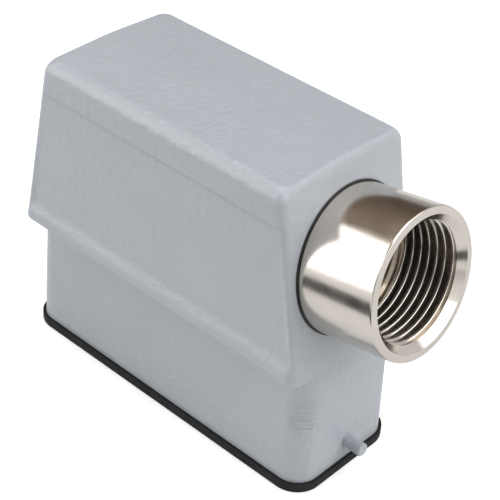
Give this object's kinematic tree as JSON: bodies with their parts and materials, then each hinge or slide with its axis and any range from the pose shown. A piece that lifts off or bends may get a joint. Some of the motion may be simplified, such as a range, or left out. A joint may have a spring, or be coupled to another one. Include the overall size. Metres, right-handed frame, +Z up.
{
  "type": "heavy duty rectangular connector",
  "caption": "Die-cast hood with a slanted threaded cable entry, locking pegs and rim gasket, holding a two-row plug insert with earth contacts.",
  "frame": {"origin": "centre of the rim, in the plane that the hood stands on (the gasket's lower face)", "axes": "+X along the long side to the end wall with the cable entry, +Z up from the rim to the roof, +Y across"},
  "size_m": [0.0963, 0.0356, 0.0692],
  "materials": {
    "hood_paint": "die cast, light grey powder coat with a fine orange peel",
    "gasket_rubber": "matt black",
    "seal_rubber": "matt black",
    "nickel_plate": "bright nickel plate over turned brass",
    "insert_plastic": "moulded glass filled plastic, light grey",
    "contact_plate": "silver plate over brass",
    "earth_plate": "tinned sheet",
    "steel_zinc": "zinc plated"
  },
  "bodies": {
    "root": {"hood_shell": "hood_paint", "rim_gasket": "gasket_rubber", "adapter_seal_ring": "seal_rubber", "cable_entry_adapter": "nickel_plate", "insert_body": "insert_plastic", "contact_1": "contact_plate", "contact_2": "contact_plate", "contact_3": "contact_plate", "contact_4": "contact_plate", "contact_5": "contact_plate", "contact_6": "contact_plate", "contact_7": "contact_plate", "contact_8": "contact_plate", "contact_9": "contact_plate", "contact_10": "contact_plate", "terminal_screws": "steel_zinc", "earth_bracket_entry": "earth_plate", "earth_bracket_far": "earth_plate", "earth_screws": "steel_zinc", "earth_clamp_washers": "steel_zinc", "fixing_screws": "steel_zinc", "fixing_washers": "steel_zinc"}
  },
  "joints": []
}
